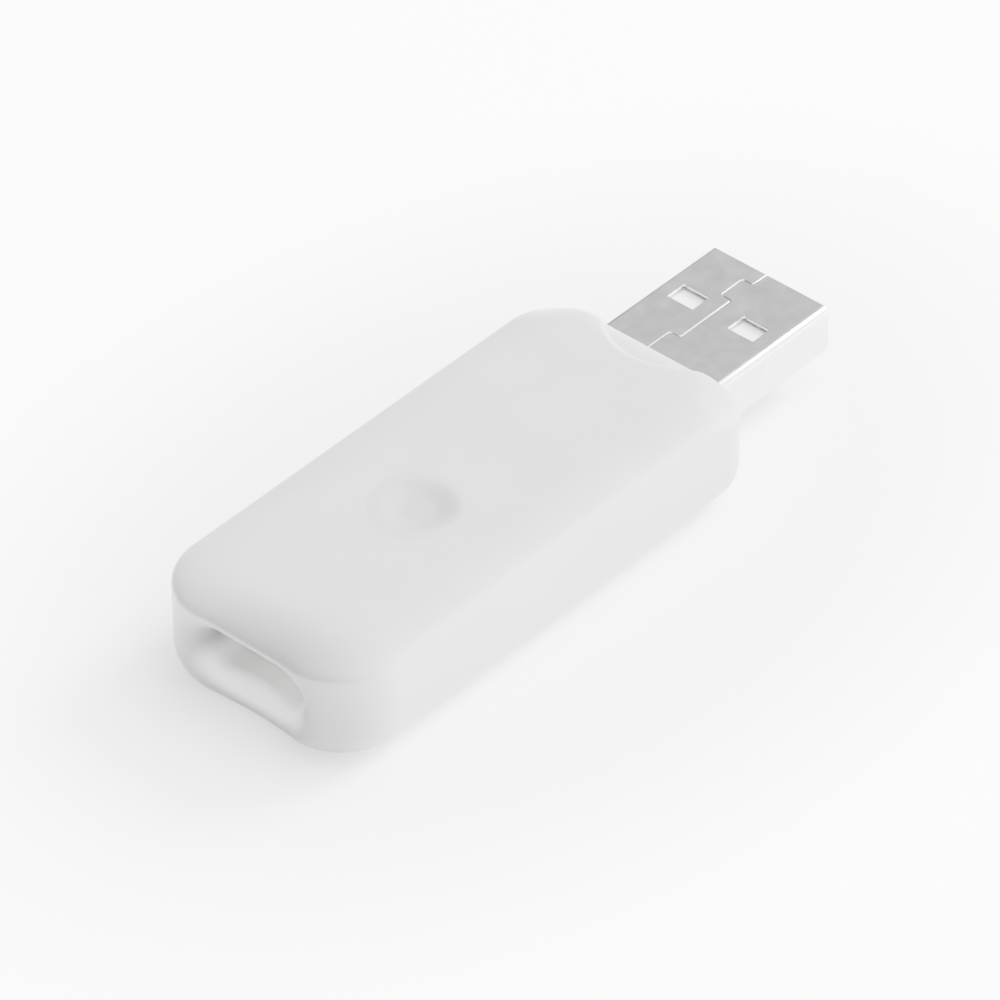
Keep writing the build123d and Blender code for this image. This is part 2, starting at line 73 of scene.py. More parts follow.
body_low, body_high = box_mm("top_cover")
plate_low, plate_high = box_mm("bottom_cover")
button_low, button_high = box_mm("button_cap")
plug_low, plug_high = box_mm("usb_shell")
socket_low, socket_high = box_mm("target_socket")
board_low, board_high = box_mm("circuit_board")

# Body outside
FRONT_CORNER_RADIUS = 3.2
REAR_CORNER_RADIUS = 6.0
BOTTOM_EDGE_RADIUS = 3.4
CROWN_DEPTH = 1.1
CROWN_REACH_SIDE = 4.5
CROWN_REACH_REAR = 4.5
CROWN_REACH_FRONT = 2.6
CROWN_FRONT_CORNER_RADIUS = 2.0
CROWN_REAR_CORNER_RADIUS = 2.6
HALF_WIDTH = body_high[1]
SKIN = 0.02

# Body walls
SIDE_WALL = 1.2
FRONT_WALL = 1.6
REAR_WALL = 2.2
TOP_WALL = 1.2
FLOOR_Z = 1.2
CAVITY_FRONT_RADIUS = 2.0
CAVITY_REAR_RADIUS = 4.0
CAVITY_FLOOR_RADIUS = 1.9
CAVITY_CEILING_RADIUS = 0.9

# Target port
PORT_HALF_WIDTH = 4.9
PORT_RADIUS = 1.9
PORT_MIDDLE_Z = 5.2
PORT_SHROUD = 1.2
PORT_SOFTNESS = 2.8
SCOOP_SIZE = np.array([8.0, 7.8, 4.6])
SCOOP_REACH = 1.7
SCOOP_Z = 3.1
SCOOP_SOFTNESS = 1.5

# The top runs lower towards its two front corners
DROOP_DEPTH = 0.85
DROOP_REACH = 5.0

# Hole for the plug, through the front wall
PLUG_HOLE_REAR_X = 12.0
PLUG_HOLE_CORNER_RADIUS = 0.6
PLUG_RIM_SOFTNESS = 0.7

# Thumb scallop behind the plug
SCALLOP_RADIUS = 6.0
SCALLOP_REACH = 2.75
SCALLOP_DEPTH = 0.35
SCALLOP_SLOPE = 0.6

# Underside opening
OPENING_CORNER_RADIUS = 1.5
FLANGE_THICKNESS = 0.7
PLATE_THICKNESS = 1.4
SPIGOT_INSET = 0.5
SEAM = 0.1
FLANGE_MARGIN = 0.45
# The bottom cover also has a lug that reaches further forward, into the front wall.
flange_front_x = body_high[0] - BOTTOM_EDGE_RADIUS - FLANGE_MARGIN

# Posts that hold the board down
POST_X = (-13.6, 8.2)
POST_Y = 5.4
POST_RADIUS = 0.6

# Press button
BUTTON_X = (button_low[0] + button_high[0]) / 2
DISH_DEPTH = 0.4
DISH_RADIUS = 3.3
DISH_FLOOR_RADIUS = 1.0
HOLE_RADIUS = 2.9

# Grid of the body's surface
GRID_STEP = 0.22


# ------------------------------------------------------------------ distances, negative inside
def round_both(a, b, radius):
    """What lies inside both a and b, with the edge between them rounded."""
    corner = np.hypot(np.maximum(a + radius, 0), np.maximum(b + radius, 0))
    return np.minimum(np.maximum(a, b), -radius) + corner


def soft_cut(shape, tool, width):
    """shape with tool cut out of it, and the edge of the cut softened over width."""
    near = np.maximum(width - np.abs(shape + tool), 0) / width
    return np.maximum(shape, -tool) + near * near * width / 4


def slab(x, y, low_x, high_x, half_width, rear_radius, front_radius):
    """A rounded rectangle in plan."""
    middle = (low_x + high_x) / 2
    radius = np.where(x > middle, front_radius, rear_radius)
    over_x = np.abs(x - middle) - (high_x - low_x) / 2 + radius
    over_y = np.abs(y) - half_width + radius
    outside = np.hypot(np.maximum(over_x, 0), np.maximum(over_y, 0))
    return outside + np.minimum(np.maximum(over_x, over_y), 0) - radius


def block(x, y, z, low, high):
    """A plain box."""
    middle, half = (np.array(low) + np.array(high)) / 2, (np.array(high) - np.array(low)) / 2
    over = [np.abs(v - m) - h for v, m, h in zip((x, y, z), middle, half)]
    return np.maximum(np.maximum(over[0], over[1]), over[2])


def ellipsoid(x, y, z, middle, size):
    scaled = [(v - m) / s for v, m, s in zip((x, y, z), middle, size)]
    level = np.sqrt(scaled[0] ** 2 + scaled[1] ** 2 + scaled[2] ** 2)
    steep = np.sqrt(sum((v / s) ** 2 for v, s in zip(scaled, size)))
    return level * (level - 1) / np.maximum(steep, 1e-6)


def stadium(y, z, half_width, radius):
    """The port's outline in its end view."""
    return np.hypot(np.maximum(np.abs(y) - half_width + radius, 0), z - PORT_MIDDLE_Z) - radius


def smooth_step(v):
    v = np.clip(v, 0, 1)
    return v * v * (3 - 2 * v)


def crown_outline(x, y, share):
    """The crown's plan outline, from the widest at share 0 to the flat top's at share 1."""
    rear_radius = REAR_CORNER_RADIUS + (CROWN_REAR_CORNER_RADIUS - REAR_CORNER_RADIUS) * share
    front_radius = FRONT_CORNER_RADIUS + (CROWN_FRONT_CORNER_RADIUS - FRONT_CORNER_RADIUS) * share
    return slab(
        x,
        y,
        body_low[0] + CROWN_REACH_REAR * share,
        body_high[0] - CROWN_REACH_FRONT * share,
        HALF_WIDTH - CROWN_REACH_SIDE * share,
        rear_radius,
        front_radius,
    )


def crown_share(x, y):
    """How far over the crown a point in plan is: 0 at the body's side, 1 on the flat top."""
    low = np.zeros(np.broadcast(x, y).shape)
    high = np.ones_like(low)
    for _ in range(16):
        middle = (low + high) / 2
        inside = crown_outline(x, y, middle) < 0
        low = np.where(inside, middle, low)
        high = np.where(inside, high, middle)
    beyond = np.maximum(crown_outline(x, y, 0.0), 0) / CROWN_REACH_SIDE
    return (low + high) / 2 - beyond


def dish(x, y):
    """How far the soft dish of the button lies below the flat top."""
    away = np.hypot(x - BUTTON_X, y)
    return DISH_DEPTH * smooth_step((DISH_RADIUS - away) / (DISH_RADIUS - DISH_FLOOR_RADIUS))


def scallop(x, y):
    """How far the thumb scallop lies below the flat top."""
    away = np.hypot(x - (body_high[0] - SCALLOP_REACH + SCALLOP_RADIUS), y)
    return SCALLOP_DEPTH * smooth_step((SCALLOP_RADIUS + SCALLOP_SLOPE / 2 - away) / SCALLOP_SLOPE)


def droop(x, y):
    """How far the top runs down towards the front corners."""
    away = np.hypot(x - body_high[0], np.abs(y) - HALF_WIDTH)
    return DROOP_DEPTH * smooth_step(1 - away / DROOP_REACH)


def crown(x, y, z):
    """The side and the softly crowned top, above the shoulder."""
    nudge = 0.01
    share = crown_share(x, y)
    slope_x = (crown_share(x + nudge, y) - share) / nudge
    slope_y = (crown_share(x, y + nudge) - share) / nudge
    top = body_high[2] - SKIN
    out = 1 - share
    lowered = dish(x, y) + scallop(x, y) + droop(x, y)
    up = np.maximum(z + lowered - (top - CROWN_DEPTH), 0) / CROWN_DEPTH
    away = np.hypot(out, up)
    steep = np.sqrt(
        (out**2 * (slope_x**2 + slope_y**2) + (up / CROWN_DEPTH) ** 2) / np.maximum(away, 1e-6) ** 2
    )
    return (away - 1) / np.maximum(steep, 1 / CROWN_REACH_SIDE)


def body_outside(x, y, z):
    side = slab(x, y, body_low[0], body_high[0], HALF_WIDTH, REAR_CORNER_RADIUS, FRONT_CORNER_RADIUS)
    return np.maximum(round_both(side, -z, BOTTOM_EDGE_RADIUS), crown(x, y, z))


def body_cavity(x, y, z):
    side = slab(
        x,
        y,
        body_low[0] + REAR_WALL,
        body_high[0] - FRONT_WALL,
        HALF_WIDTH - SIDE_WALL,
        CAVITY_REAR_RADIUS,
        CAVITY_FRONT_RADIUS,
    )
    side = np.maximum(side, socket_low[0] + PORT_SHROUD - x)
    ceiling = z - (body_high[2] - TOP_WALL)
    return np.maximum(
        round_both(side, ceiling, CAVITY_CEILING_RADIUS),
        round_both(side, FLOOR_Z - z, CAVITY_FLOOR_RADIUS),
    )


def underside_opening(x, y, z, grow):
    """The opening for the bottom cover, which steps in above the cover's flange."""
    flange_half = plate_high[1] + grow
    low_x, high_x = plate_low[0] - grow, flange_front_x + grow
    flange = slab(x, y, low_x, high_x, flange_half, OPENING_CORNER_RADIUS, OPENING_CORNER_RADIUS)
    spigot = slab(
        x,
        y,
        low_x + SPIGOT_INSET,
        high_x - SPIGOT_INSET,
        flange_half - SPIGOT_INSET,
        OPENING_CORNER_RADIUS,
        OPENING_CORNER_RADIUS,
    )
    return np.minimum(
        np.maximum(flange, z - FLANGE_THICKNESS - grow),
        np.maximum(spigot, z - PLATE_THICKNESS - grow),
    )


def body_field(x, y, z):
    """The whole top cover: shell, posts, openings and soft lips."""
    port_back = socket_low[0]
    port = np.maximum(stadium(y, z, PORT_HALF_WIDTH, PORT_RADIUS), x - port_back)
    solid = soft_cut(body_outside(x, y, z), port, PORT_SOFTNESS)
    scoop = ellipsoid(x, y, z, (body_low[0] + SCOOP_REACH - SCOOP_SIZE[0], 0, SCOOP_Z), SCOOP_SIZE)
    solid = soft_cut(solid, scoop, SCOOP_SOFTNESS)
    shape = np.maximum(solid, -body_cavity(x, y, z))
    for post_x in POST_X:
        post = np.hypot(x - post_x, np.abs(y) - POST_Y) - POST_RADIUS
        shape = np.minimum(shape, np.maximum(np.maximum(post, board_high[2] - z), solid))
    socket = block(
        x,
        y,
        z,
        (port_back - 1, socket_low[1] - SEAM, socket_low[2] - SEAM),
        (socket_high[0], socket_high[1] + SEAM, socket_high[2] + SEAM),
    )
    shape = np.maximum(shape, -socket)
    hole = np.maximum(np.hypot(x - BUTTON_X, y) - HOLE_RADIUS, body_high[2] - 2 * TOP_WALL - z)
    shape = np.maximum(shape, -hole)
    plug_middle_z = (plug_low[2] + plug_high[2]) / 2
    plug_side = np.abs(y) - plug_high[1] - SEAM / 2
    plug_level = np.abs(z - plug_middle_z) - (plug_high[2] - plug_middle_z) - SEAM / 2
    plug = round_both(plug_side, plug_level, PLUG_HOLE_CORNER_RADIUS)
    plug = np.minimum(plug, np.maximum(plug_side, z - plug_middle_z))
    plug = np.maximum(plug, PLUG_HOLE_REAR_X - x)
    shape = soft_cut(shape, plug, PLUG_RIM_SOFTNESS)
    return np.maximum(shape, -underside_opening(x, y, z, SEAM))



# ------------------------------------------------------------------ surface from a distance field
def surface_net(field, low, high, step):
    """Vertices and quads on the surface where field is 0.

    Each cell that the surface crosses has one vertex."""
    axes = [np.arange(low[i] - 1.5 * step, high[i] + 1.6 * step, step) for i in range(3)]
    grid = np.meshgrid(*axes, indexing="ij", sparse=True)
    values = np.broadcast_to(field(*grid), [len(a) for a in axes])
    cells = tuple(n - 1 for n in values.shape)
    corner_sum, corner_count = np.zeros(cells + (3,)), np.zeros(cells)
    for axis in range(3):
        first = values[tuple(slice(0, -1) if i == axis else slice(None) for i in range(3))]
        second = values[tuple(slice(1, None) if i == axis else slice(None) for i in range(3))]
        crossed = (first < 0) != (second < 0)
        share = np.where(crossed, first / np.where(crossed, first - second, 1), 0)
        others = [i for i in range(3) if i != axis]
        for shift_a in (0, 1):
            for shift_b in (0, 1):
                part = [slice(None)] * 3
                part[others[0]] = slice(shift_a, shift_a + cells[others[0]])
                part[others[1]] = slice(shift_b, shift_b + cells[others[1]])
                hit, along = crossed[tuple(part)], share[tuple(part)]
                corner_count += hit
                corner_sum[..., axis] += np.where(hit, along, 0)
                corner_sum[..., others[0]] += np.where(hit, shift_a, 0)
                corner_sum[..., others[1]] += np.where(hit, shift_b, 0)
    used = corner_count > 0
    index = np.full(cells, -1)
    index[used] = np.arange(used.sum())
    base = np.stack(np.nonzero(used), axis=1)
    start = np.array([a[0] for a in axes])
    points = start + (base + corner_sum[used] / corner_count[used][:, None]) * step
    quads = []
    for axis in range(3):
        a, b = [i for i in range(3) if i != axis]
        inner = [slice(1, -1)] * 3
        inner[axis] = slice(0, -1)
        ahead = [slice(1, -1)] * 3
        ahead[axis] = slice(1, None)
        first, second = values[tuple(inner)] < 0, values[tuple(ahead)] < 0
        where = np.stack(np.nonzero(first != second), axis=1)
        leaving = first[first != second]
        where[:, a] += 1
        where[:, b] += 1
        ring = []
        for step_a, step_b in ((-1, -1), (0, -1), (0, 0), (-1, 0)):
            cell = where.copy()
            cell[:, a] += step_a
            cell[:, b] += step_b
            ring.append(index[tuple(cell.T)])
        ring = np.stack(ring, axis=1)
        forward = leaving if axis != 1 else ~leaving
        quads.append(np.where(forward[:, None], ring, ring[:, ::-1]))
    return points, np.concatenate(quads)


def settle(points, field, step):
    """Moves each point onto the surface along the field's slope, by up to half a cell."""
    nudge = 0.02
    start = points.copy()
    for _ in range(4):
        here = field(*points.T)
        slope = np.stack([(field(*(points + nudge * row).T) - here) / nudge for row in np.eye(3)], axis=1)
        size = np.maximum((slope**2).sum(1), 0.25)
        points = points - slope * (here / size)[:, None]
        points = start + np.clip(points - start, -step / 2, step / 2)
    return points


# A face whose normal lies this close to an axis is a flat one and is shaded flat
FLAT_NORMAL = 0.9999
# An edge is a sharp one, that gets rounded, where its faces meet at more than this angle
SHARP_EDGE = math.radians(35)
# Faces of a CAD mesh that meet at less than this angle are joined into one
JOINED_ANGLE = math.radians(0.6)
JOINED_DISTANCE = 0.0005
# How far below a piece's highest point its top face reaches
TOP_FACE_DEPTH = 0.05
# Rounding of the electronics' edges
ELECTRONICS_EDGE = 0.03


def new_piece(name, points, faces, body, material):
    """A mesh piece from points in millimetres, that rides on a body."""
    mesh = bpy.data.meshes.new(name)
    mesh.from_pydata([tuple(p) for p in np.asarray(points) * MM], [], [tuple(f) for f in faces])
    mesh.validate()
    mesh.shade_smooth()
    piece = bpy.data.objects.new(name, mesh)
    bpy.context.scene.collection.objects.link(piece)
    piece.data.materials.append(material)
    if body:
        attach(piece, body)
    return piece


def narrow_faces(shape, width):
    """The faces of regions narrower than width between their sharp edges, such as a groove's."""
    narrow, seen = set(), set()
    for first in shape.faces:
        if first in seen:
            continue
        seen.add(first)
        region, rim = [first], 0.0
        for face in region:
            for side in face.edges:
                if side.calc_face_angle(0.0) > SHARP_EDGE:
                    rim += side.calc_length()
                    continue
                for other in side.link_faces:
                    if other not in seen:
                        seen.add(other)
                        region.append(other)
        if rim and 2 * sum(face.calc_area() for face in region) / rim < width:
            narrow.update(region)
    return narrow


def fine_copy(node, name, material, edge, lowered=0.0):
    """A piece of the case with a CAD node's shape, its edges rounded by edge millimetres.

    It replaces the node. Its top can be lowered, to leave a gap under what covers it."""
    mesh = frame["nodes"][node].data.copy()
    mesh.name = name
    shape = bmesh.new()
    shape.from_mesh(mesh)
    bmesh.ops.remove_doubles(shape, verts=shape.verts, dist=JOINED_DISTANCE * MM)
    bmesh.ops.dissolve_limit(shape, angle_limit=JOINED_ANGLE, verts=shape.verts, edges=shape.edges)
    top = max(v.co.z for v in shape.verts)
    for v in shape.verts:
        if v.co.z > top - TOP_FACE_DEPTH * MM:
            v.co.z -= lowered * MM
    kept = narrow_faces(shape, 2 * edge * MM)
    weight = shape.edges.layers.float.new("bevel_weight_edge")
    for side in shape.edges:
        rounded = side.calc_face_angle(0.0) > SHARP_EDGE and kept.isdisjoint(side.link_faces)
        side[weight] = float(rounded)
    shape.to_mesh(mesh)
    shape.free()
    mesh.materials.clear()
    mesh.materials.append(material)
    mesh.shade_smooth()
    piece = bpy.data.objects.new(name, mesh)
    bpy.context.scene.collection.objects.link(piece)
    bevel = piece.modifiers.new("edges", "BEVEL")
    bevel.width = edge * MM
    bevel.segments = 3
    bevel.limit_method = "WEIGHT"
    bevel.use_clamp_overlap = False
    bpy.context.view_layer.update()
    shaped = bpy.data.meshes.new_from_object(piece.evaluated_get(bpy.context.evaluated_depsgraph_get()))
    piece.modifiers.clear()
    piece.data = shaped
    for face in shaped.polygons:
        face.use_smooth = max(abs(c) for c in face.normal) < FLAT_NORMAL
    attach(piece, "case")
    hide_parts(node)
    return piece


# ------------------------------------------------------------------ materials
class Surface:
    """One procedural material: a Principled shader, and the nodes that vary it."""

    def __init__(self, name, **values):
        self.material = bpy.data.materials.new(name)
        self.material.use_nodes = True
        self.tree = self.material.node_tree
        self.shader = self.tree.nodes["Principled BSDF"]
        self.place = self.add("ShaderNodeTexCoord").outputs["Object"]
        self.set(self.shader, {key.replace("_", " "): value for key, value in values.items()})

    def set(self, node, values):
        for key, value in values.items():
            if isinstance(value, bpy.types.NodeSocket):
                self.tree.links.new(value, node.inputs[key])
            else:
                node.inputs[key].default_value = value

    def add(self, kind, values=None, **settings):
        node = self.tree.nodes.new(kind)
        for key, value in settings.items():
            setattr(node, key, value)
        self.set(node, values or {})
        return node

    def noise(self, size, detail=4.0, stretch=(1, 1, 1)):
        """Noise with lumps about size millimetres across, drawn out along an axis by stretch."""
        scale = [1 / (size * MM * s) for s in stretch]
        place = self.add("ShaderNodeVectorMath", {0: self.place, 1: scale}, operation="MULTIPLY")
        values = {"Vector": place.outputs[0], "Scale": 1.0, "Detail": detail}
        return self.add("ShaderNodeTexNoise", values).outputs[0]

    def fit(self, value, low, high, start=0.3, end=0.7):
        """value from start..end, remapped to low..high."""
        limits = {"Value": value, "From Min": start, "From Max": end, "To Min": low, "To Max": high}
        return self.add("ShaderNodeMapRange", limits).outputs[0]

    def sum(self, a, b, operation="ADD"):
        return self.add("ShaderNodeMath", {0: a, 1: b}, operation=operation).outputs[0]

    def mix(self, share, a, b):
        return self.add("ShaderNodeMix", {0: share, 6: a, 7: b}, data_type="RGBA").outputs[2]

    def zone(self, centre, half_size, edge):
        """1 inside an upright ellipsoid zone, falling to 0 over edge, as a share of its size."""
        middle = [c * MM for c in centre]
        scale = [1 / (h * MM) for h in half_size]
        away = self.add("ShaderNodeVectorMath", {0: self.place, 1: middle}, operation="SUBTRACT").outputs[0]
        away = self.add("ShaderNodeVectorMath", {0: away, 1: scale}, operation="MULTIPLY").outputs[0]
        away = self.add("ShaderNodeVectorMath", {0: away}, operation="LENGTH").outputs["Value"]
        limits = {"Value": away, "From Min": 1 + edge, "From Max": 1 - edge, "To Min": 0, "To Max": 1}
        return self.add("ShaderNodeMapRange", limits, interpolation_type="SMOOTHSTEP").outputs[0]

    def bends(self):
        """1 on outward bends of a dense mesh, where handling wears the finish."""
        bend = self.add("ShaderNodeNewGeometry").outputs["Pointiness"]
        return self.fit(bend, 0.0, 1.0, 0.52, 0.6)

    def rounded_edges(self):
        """1 on the rounded edges of a boxy shape, which face away from every axis."""
        facing = self.add("ShaderNodeNewGeometry").outputs["Normal"]
        facing = self.add("ShaderNodeVectorMath", {0: facing}, operation="ABSOLUTE").outputs[0]
        along = self.add("ShaderNodeSeparateXYZ", {0: facing}).outputs
        most = self.sum(self.sum(along[0], along[1], "MAXIMUM"), along[2], "MAXIMUM")
        return self.fit(most, 1.0, 0.0, 0.8, 0.97)

    def finish(self, colour, roughness, reliefs):
        """Connects colour and roughness, and stacks reliefs of (height, depth in millimetres)."""
        normal = None
        for height, depth in reliefs:
            values = {"Height": height, "Distance": depth * MM, "Strength": 1.0}
            if normal:
                values["Normal"] = normal
            normal = self.add("ShaderNodeBump", values).outputs[0]
        self.set(self.shader, {"Base Color": colour, "Roughness": roughness, "Normal": normal})
        return self.material


def shade(colour, factor):
    """A colour made lighter or darker."""
    return [min(1.0, c * factor) for c in colour[:3]] + [1.0]


def moulded_plastic(name, colour, roughness, clouding=0.04, soften=0.0, painted_zones=()):
    """Satin moulded plastic: faint clouding, a fine grain, polished edges and light scuffs.

    Each painted zone is (centre, half size, edge, factor): a soft-edged zone, in millimetres, of painted
    shade where factor is below 1 and painted light where it is above. A softened plastic lets some light
    in, and is on a dense mesh."""
    s = Surface(name, IOR=1.46, Subsurface_Weight=soften, Subsurface_Scale=0.8 * MM)
    s.set(s.shader, {"Subsurface Radius": (1.0, 0.95, 0.9)})
    cloud_size, flow_size, grain_size, scuff_size = 7.0, 1.6, 0.16, 0.5
    flow_depth, grain_depth = 0.0024, 0.004
    worn_share, worn_factor, worn_polish = 0.25, 1.08, -0.06
    scuff_share, scuff_factor, scuff_dulling = 0.06, 0.8, 0.05
    cloud_polish = 0.04
    cloud = s.noise(cloud_size, 3.0)
    grain = s.noise(grain_size, 3.0)
    flow = s.noise(flow_size, 2.0)
    scuff = s.fit(s.noise(scuff_size, 5.0, (9, 1, 1)), 0.0, 1.0, 0.62, 0.75)
    worn = s.bends() if soften else s.rounded_edges()
    tint = s.mix(s.fit(cloud, 0.0, 1.0), shade(colour, 1 - clouding), shade(colour, 1 + clouding))
    tint = s.mix(s.sum(worn, worn_share, "MULTIPLY"), tint, shade(colour, worn_factor))
    tint = s.mix(s.sum(scuff, scuff_share, "MULTIPLY"), tint, shade(colour, scuff_factor))
    # Painted light and shade: soft zones where the colour is made lighter or darker to stand for light and
    # shade.
    for centre, half_size, edge, factor in painted_zones:
        painted_tint = s.mix(s.fit(cloud, 0.0, 1.0), shade(colour, factor), shade(colour, factor + clouding))
        tint = s.mix(s.zone(centre, half_size, edge), tint, painted_tint)
    rough = s.fit(cloud, roughness - cloud_polish, roughness + cloud_polish)
    rough = s.sum(rough, s.sum(worn, worn_polish, "MULTIPLY"))
    rough = s.sum(rough, s.sum(scuff, scuff_dulling, "MULTIPLY"))
    return s.finish(tint, rough, [(flow, flow_depth), (grain, grain_depth)])


def plated_sheet(name, colour, roughness, waves=0.02):
    """Bright plated sheet: rolling lines along the stick, slow waves, stains and rubbed edges."""
    s = Surface(name, Metallic=1.0)
    line_size, stain_size, wave_size, scratch_size = 0.05, 1.8, 3.2, 0.08
    line_depth = 0.0016
    stain_dark, stain_light = 0.9, 1.06
    worn_share, worn_factor = 0.5, 1.25
    scratch_dulling = 0.12
    lines = s.noise(line_size, 3.0, (60, 1, 1))
    stain = s.noise(stain_size, 5.0)
    wave = s.noise(wave_size, 1.0)
    scratch = s.fit(s.noise(scratch_size, 4.0, (45, 1, 1)), 0.0, 1.0, 0.66, 0.74)
    worn = s.rounded_edges()
    tint = s.mix(s.fit(stain, 0.0, 1.0), shade(colour, stain_dark), shade(colour, stain_light))
    tint = s.mix(s.sum(worn, worn_share, "MULTIPLY"), tint, shade(colour, worn_factor))
    rough = s.fit(stain, roughness - 0.06, roughness + 0.07)
    rough = s.sum(rough, s.sum(scratch, scratch_dulling, "MULTIPLY"))
    return s.finish(tint, rough, [(wave, waves), (lines, line_depth), (scratch, -line_depth)])


def board_laminate(name, colour):
    """Solder mask over copper: darker where tracks run under it, with a fine woven glass grain."""
    s = Surface(name, IOR=1.5, Coat_Weight=0.3, Coat_Roughness=0.2)
    tracks = {"Vector": s.place, "Scale": 900.0, "Mortar Size": 0.03}
    track = s.add("ShaderNodeTexBrick", tracks).outputs["Fac"]
    weave = s.noise(0.35, 2.0)
    tint = s.mix(track, shade(colour, 1.0), shade(colour, 1.5))
    tint = s.mix(s.fit(weave, 0.0, 0.35), tint, shade(colour, 0.7))
    return s.finish(tint, s.fit(weave, 0.3, 0.45), [(track, 0.02), (weave, 0.004)])


WHITE = (0.46, 0.46, 0.46, 1)
# Painted light and shade on the white plastic: painted shade on the rear end, painted light on the port's
# lip and on the right side inside it, painted shade in its left end, and painted shade in the button's
# dish.
# Painted light: the port's lower lip is made lighter, as if lit.
PORT_LIP_PAINTED_LIGHT = ((body_low[0] + 2.8, 0.0, 3.4), (3.4, 6.0, 2.2), 0.25, 1.9)
# Painted light: the right side inside the port is made lighter, as if lit.
PORT_RIGHT_PAINTED_LIGHT = ((body_low[0] + 4.0, -2.6, 6.0), (4.2, 2.6, 2.0), 0.3, 1.9)
# Painted shade: the port's left end, under its upper lip, is darkened as if in shade.
PORT_LEFT_PAINTED_SHADE = ((body_low[0] + 2.4, 3.0, 5.8), (3.4, 3.0, 1.8), 0.5, 0.42)
# Painted shade: the rear end is darkened where it faces away from the light.
REAR_PAINTED_SHADE = ((body_low[0], -3.0, 4.0), (5.0, 11.0, 8.5), 0.5, 0.55)
BODY_PAINTED_LIGHT_AND_SHADE = (REAR_PAINTED_SHADE, PORT_LIP_PAINTED_LIGHT, PORT_RIGHT_PAINTED_LIGHT, PORT_LEFT_PAINTED_SHADE)
# Painted shade: the button's dish is darkened, as if in shade.
BUTTON_PAINTED_SHADE = ((BUTTON_X, 0, button_high[2]), (3.0, 3.0, 50.0), 0.35, 0.75)
record_colour = {m["slot"]: list(m["base_color"]) + [1.0] for m in frame["record"]["materials"]}
plastics = {
    "body_plastic": moulded_plastic("body_plastic", WHITE, 0.46, soften=0.3, painted_zones=BODY_PAINTED_LIGHT_AND_SHADE),
    "button_rubber": moulded_plastic("button_rubber", WHITE, 0.48, soften=0.3, painted_zones=[BUTTON_PAINTED_SHADE]),
}
# Slot, roughness, clouding
for slot, roughness, clouding in (
    ("insulator_plastic", 0.4, 0.04),
    ("socket_plastic", 0.5, 0.04),
    ("chip_plastic", 0.55, 0.15),
    ("capacitor_ceramic", 0.4, 0.12),
    ("fuse_body", 0.35, 0.1),
    ("light_body", 0.15, 0.05),
):
    plastics[slot] = moulded_plastic(slot, record_colour[slot], roughness, clouding)
metals = {
    "plug_steel": plated_sheet("plug_steel", (0.68, 0.68, 0.68, 1), 0.2),
    "contact_gold": plated_sheet("contact_gold", record_colour["contact_gold"], 0.22, waves=0.002),
    "lead_metal": plated_sheet("lead_metal", record_colour["lead_metal"], 0.3, waves=0.002),
    "can_metal": plated_sheet("can_metal", record_colour["can_metal"], 0.28, waves=0.004),
}
laminate = board_laminate("board_laminate", record_colour["board_laminate"])
finish_of = {**plastics, **metals, "board_laminate": laminate}


# ------------------------------------------------------------------ body
def make_body():
    points, quads = surface_net(body_field, body_low, body_high, GRID_STEP)
    points = settle(points, body_field, GRID_STEP)
    points = np.clip(points, body_low, body_high)
    piece = new_piece("body_shell", points, quads, "case", finish_of["body_plastic"])
    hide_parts("top_cover")


def make_button():
    """The soft disc of the button, which runs out into the body's skin, with its stem under it."""
    top = button_high[2]
    skin_radius = 4.6
    feather_start = 3.3
    rim_width = 0.3
    under = top - SEAM
    disc_bottom = top - 0.9
    stem_radius = 1.5
    stem_bottom = button_low[2]
    rings = 40
    profile = []
    for i in range(rings + 1):
        r = skin_radius * i / rings
        sink = 2 * SKIN * smooth_step((r - feather_start) / (skin_radius - feather_start))
        profile.append((r, top - float(dish(BUTTON_X + r, 0.0)) - float(sink)))
    profile += [(skin_radius - rim_width, under), (HOLE_RADIUS - SEAM, under)]
    profile += [(HOLE_RADIUS - SEAM, disc_bottom), (stem_radius, disc_bottom)]
    profile += [(stem_radius, stem_bottom), (0.0, stem_bottom)]
    around = 96
    points = [(BUTTON_X, 0.0, profile[0][1])]
    for r, z in profile[1:-1]:
        for k in range(around):
            turn = 2 * math.pi * k / around
            points.append((BUTTON_X + r * math.cos(turn), r * math.sin(turn), z))
    points.append((BUTTON_X, 0.0, profile[-1][1]))
    faces, last = [], len(points) - 1
    for k in range(around):
        nxt = (k + 1) % around
        faces.append((0, 1 + k, 1 + nxt))
        for ring in range(len(profile) - 3):
            a = 1 + ring * around
            faces.append((a + k, a + around + k, a + around + nxt, a + nxt))
        final = last - around
        faces.append((final + k, last, final + nxt))
    piece = new_piece("button_skin", points, faces, None, finish_of["button_rubber"])
    piece.data.set_sharp_from_angle(angle=math.radians(50))
    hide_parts("button_cap")
    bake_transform(piece)


make_body()
make_button()

# Pieces with the CAD's shape and rounded edges: CAD node, piece, slot, edge radius, lowered top
fine_pieces = [
    ("bottom_cover", "base_plate", "body_plastic", 0.12, 0.0),
    ("usb_shell", "plug_shell", "plug_steel", 0.055, 0.0),
    ("usb_insulator", "plug_insulator", "insulator_plastic", 0.04, 0.25),
    ("target_socket", "port_socket", "socket_plastic", 0.08, 0.0),
]
for node in sorted(frame["nodes"]):
    if node.startswith("usb_contact"):
        fine_pieces.append((node, node.replace("usb", "plug"), "contact_gold", 0.04, 0.0))
    if node.startswith("target_pin"):
        fine_pieces.append((node, node.replace("target", "port"), "lead_metal", 0.04, 0.0))
for node, piece_name, slot, edge, lowered in fine_pieces:
    fine_copy(node, piece_name, finish_of[slot], edge, lowered)

# The real snap dome flattens by the button's whole travel, with its rim on the switch's base; here it keeps
# its CAD shape, unrounded, on a mesh of its own.
dome = fine_copy("switch_dome", "snap_dome", finish_of["can_metal"], 0.0)
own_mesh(dome)

